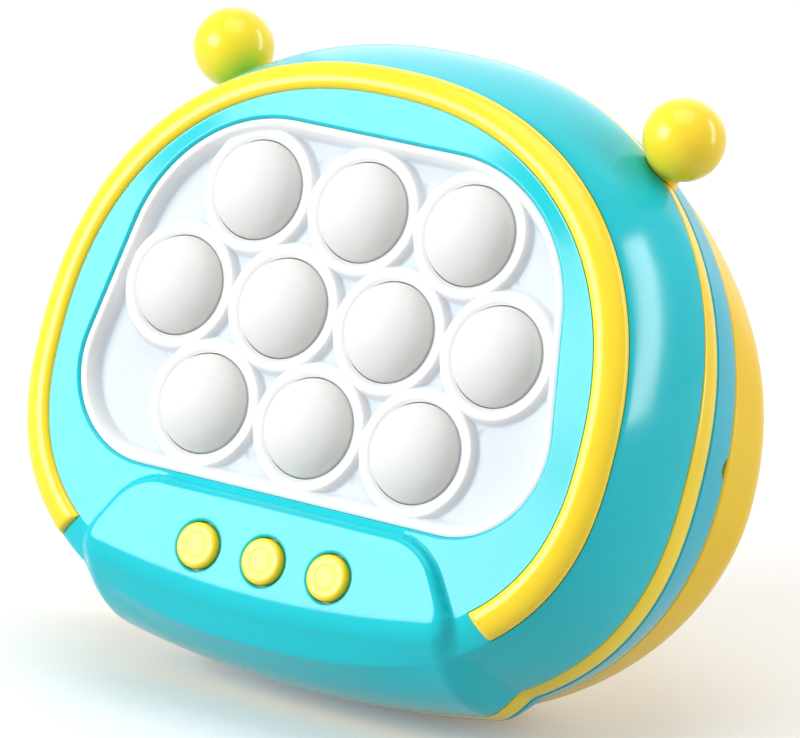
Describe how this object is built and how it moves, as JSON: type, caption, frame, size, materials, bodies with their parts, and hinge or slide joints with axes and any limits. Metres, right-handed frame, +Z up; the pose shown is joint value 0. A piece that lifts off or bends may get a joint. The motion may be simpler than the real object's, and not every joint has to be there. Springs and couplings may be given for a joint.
{
  "type": "electronic bubble pop game",
  "caption": "Handheld bubble pop game with a rounded casing, soft domes in raised rings, a button pod, a half-round trim strip and two ball antennas.",
  "frame": {"origin": "middle of the bounding box's footprint, on the floor that the toy stands on", "axes": "+X to the right as the player sees the face, +Y from the face to the back, +Z up; the face leans back 22 degrees"},
  "size_m": [0.1506, 0.0966, 0.1322],
  "materials": {
    "glossy_cyan": "moulded, polished",
    "rear_blue": "moulded, glossy",
    "glossy_yellow": "moulded, glossy",
    "amber_yellow": "moulded, satin gloss",
    "panel_white": "moulded, satin",
    "soft_white": "soft silicone, matte",
    "board_green": "circuit board with solder mask",
    "switch_black": "moulded, matte",
    "bright_steel": "nickel plated",
    "cell_sleeve": "printed sleeve, plain"
  },
  "bodies": {
    "casing": {"front_shell": "glossy_cyan", "face_trim": "glossy_yellow", "bubble_panel": "panel_white", "middle_band": "glossy_yellow", "left_antenna": "glossy_yellow", "right_antenna": "glossy_yellow", "rear_shell": "rear_blue", "back_cover": "amber_yellow", "battery_door": "amber_yellow", "battery_door_screw": "bright_steel", "case_screw_1": "bright_steel", "case_screw_2": "bright_steel", "case_screw_3": "bright_steel", "case_screw_4": "bright_steel", "battery_1": "cell_sleeve", "battery_2": "cell_sleeve", "battery_3": "cell_sleeve", "contact_spring": "bright_steel", "contact_flat": "bright_steel", "contact_link_1": "bright_steel", "contact_link_2": "bright_steel", "main_board": "board_green", "bubble_switch_1": "switch_black", "bubble_switch_2": "switch_black", "bubble_switch_3": "switch_black", "bubble_switch_4": "switch_black", "bubble_switch_5": "switch_black", "bubble_switch_6": "switch_black", "bubble_switch_7": "switch_black", "bubble_switch_8": "switch_black", "bubble_switch_9": "switch_black", "bubble_switch_10": "switch_black", "button_board": "board_green", "button_switch_1": "switch_black", "button_switch_2": "switch_black", "button_switch_3": "switch_black", "speaker": "switch_black"},
    "bubble_1": {"bubble_1": "soft_white"},
    "bubble_2": {"bubble_2": "soft_white"},
    "bubble_3": {"bubble_3": "soft_white"},
    "bubble_4": {"bubble_4": "soft_white"},
    "bubble_5": {"bubble_5": "soft_white"},
    "bubble_6": {"bubble_6": "soft_white"},
    "bubble_7": {"bubble_7": "soft_white"},
    "bubble_8": {"bubble_8": "soft_white"},
    "bubble_9": {"bubble_9": "soft_white"},
    "bubble_10": {"bubble_10": "soft_white"},
    "power_button": {"power_button": "glossy_yellow"},
    "mode_button": {"mode_button": "glossy_yellow"},
    "volume_button": {"volume_button": "glossy_yellow"}
  },
  "joints": [
    {"name": "bubble_1_press", "type": "slide", "parent": "casing", "child": "bubble_1", "axis": [0, 0.9272, -0.3746], "range_m": [0, 0.004], "stiffness_N_per_m": 400, "springref_m": -0.0003},
    {"name": "bubble_2_press", "type": "slide", "parent": "casing", "child": "bubble_2", "axis": [0, 0.9272, -0.3746], "range_m": [0, 0.004], "stiffness_N_per_m": 400, "springref_m": -0.0003},
    {"name": "bubble_3_press", "type": "slide", "parent": "casing", "child": "bubble_3", "axis": [0, 0.9272, -0.3746], "range_m": [0, 0.004], "stiffness_N_per_m": 400, "springref_m": -0.0003},
    {"name": "bubble_4_press", "type": "slide", "parent": "casing", "child": "bubble_4", "axis": [0, 0.9272, -0.3746], "range_m": [0, 0.004], "stiffness_N_per_m": 400, "springref_m": -0.0003},
    {"name": "bubble_5_press", "type": "slide", "parent": "casing", "child": "bubble_5", "axis": [0, 0.9272, -0.3746], "range_m": [0, 0.004], "stiffness_N_per_m": 400, "springref_m": -0.0003},
    {"name": "bubble_6_press", "type": "slide", "parent": "casing", "child": "bubble_6", "axis": [0, 0.9272, -0.3746], "range_m": [0, 0.004], "stiffness_N_per_m": 400, "springref_m": -0.0003},
    {"name": "bubble_7_press", "type": "slide", "parent": "casing", "child": "bubble_7", "axis": [0, 0.9272, -0.3746], "range_m": [0, 0.004], "stiffness_N_per_m": 400, "springref_m": -0.0003},
    {"name": "bubble_8_press", "type": "slide", "parent": "casing", "child": "bubble_8", "axis": [0, 0.9272, -0.3746], "range_m": [0, 0.004], "stiffness_N_per_m": 400, "springref_m": -0.0003},
    {"name": "bubble_9_press", "type": "slide", "parent": "casing", "child": "bubble_9", "axis": [0, 0.9272, -0.3746], "range_m": [0, 0.004], "stiffness_N_per_m": 400, "springref_m": -0.0003},
    {"name": "bubble_10_press", "type": "slide", "parent": "casing", "child": "bubble_10", "axis": [0, 0.9272, -0.3746], "range_m": [0, 0.004], "stiffness_N_per_m": 400, "springref_m": -0.0003},
    {"name": "power_button_press", "type": "slide", "parent": "casing", "child": "power_button", "axis": [0, 0.9272, -0.3746], "range_m": [0, 0.0012], "stiffness_N_per_m": 600, "springref_m": -0.0002},
    {"name": "mode_button_press", "type": "slide", "parent": "casing", "child": "mode_button", "axis": [0, 0.9272, -0.3746], "range_m": [0, 0.0012], "stiffness_N_per_m": 600, "springref_m": -0.0002},
    {"name": "volume_button_press", "type": "slide", "parent": "casing", "child": "volume_button", "axis": [0, 0.9272, -0.3746], "range_m": [0, 0.0012], "stiffness_N_per_m": 600, "springref_m": -0.0002}
  ]
}
